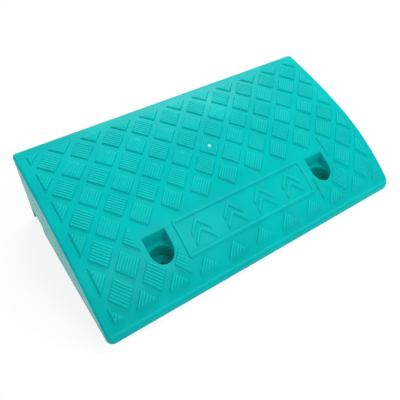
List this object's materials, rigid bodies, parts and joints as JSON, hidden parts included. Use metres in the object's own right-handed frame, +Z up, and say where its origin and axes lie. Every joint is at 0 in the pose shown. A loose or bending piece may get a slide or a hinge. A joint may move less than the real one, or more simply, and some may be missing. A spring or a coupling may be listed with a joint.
{
  "type": "kerb ramp",
  "caption": "Moulded plastic kerb ramp: a hollow ribbed wedge with a convex treaded deck, sunk bolt wells and a drain channel along the kerb.",
  "frame": {"origin": "middle of the underside, on the ground", "axes": "+X along the kerb, +Y from the front lip towards the kerb, +Z up"},
  "size_m": [0.49, 0.256, 0.115],
  "materials": {
    "moulding": "satin"
  },
  "bodies": {
    "root": {"deck": "moulding", "left_skirt": "moulding", "right_skirt": "moulding", "back_wall": "moulding", "left_fixing_well": "moulding", "right_fixing_well": "moulding", "left_bolt_tube": "moulding", "right_bolt_tube": "moulding", "left_bolt_seat": "moulding", "right_bolt_seat": "moulding", "cross_rib_1": "moulding", "cross_rib_2": "moulding", "cross_rib_3": "moulding", "cross_rib_4": "moulding", "cross_rib_5": "moulding", "cross_rib_6": "moulding", "cross_rib_7": "moulding", "cross_rib_8": "moulding", "cross_rib_9": "moulding", "long_rib_1": "moulding", "long_rib_2": "moulding", "long_rib_3": "moulding", "long_rib_4": "moulding", "tread_lip_row": "moulding", "tread_row_02": "moulding", "tread_row_03": "moulding", "tread_row_04": "moulding", "tread_row_05": "moulding", "tread_row_06": "moulding", "tread_row_07": "moulding", "tread_row_08": "moulding", "tread_row_09": "moulding", "tread_row_10": "moulding", "tread_kerb_row": "moulding", "sign_frame": "moulding", "sign_chevrons": "moulding", "gate_mark": "moulding"}
  },
  "joints": []
}
